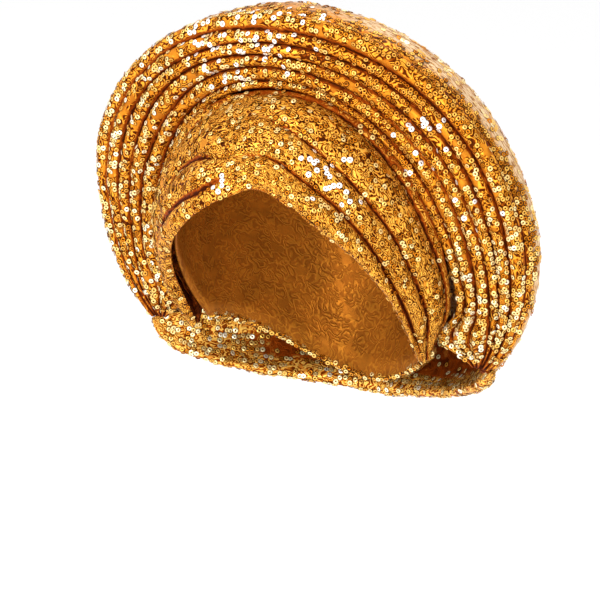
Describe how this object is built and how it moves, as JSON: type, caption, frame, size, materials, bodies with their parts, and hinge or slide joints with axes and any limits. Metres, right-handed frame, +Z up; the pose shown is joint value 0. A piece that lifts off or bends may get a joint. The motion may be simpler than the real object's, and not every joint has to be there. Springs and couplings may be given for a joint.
{
  "type": "tied gele head tie, ready tied, of sequinned cloth",
  "caption": "Head tie of stiff sequinned cloth: crossed forehead wraps, a tall pleated fan standing over them, a full back and a folded nape band.",
  "frame": {"origin": "crown of the head, where the innermost layer of cloth rests", "axes": "+Z up, -Y towards the face, +X towards the wearer's left"},
  "size_m": [0.3202, 0.2479, 0.2658],
  "materials": {
    "sequin_cloth": "gold orange cloth with sewn ring sequins, glossy",
    "sequin_cloth_back": "the same cloth, paler and less shiny",
    "crown_cloth": "the same cloth where it lies on the head, mostly hidden"
  },
  "bodies": {
    "root": {"crown_wrap": "crown_cloth", "wrap_under": "sequin_cloth", "wrap_over": "sequin_cloth", "pleated_fan": "sequin_cloth", "back_drape": "sequin_cloth_back", "nape_band": "sequin_cloth"}
  },
  "joints": []
}
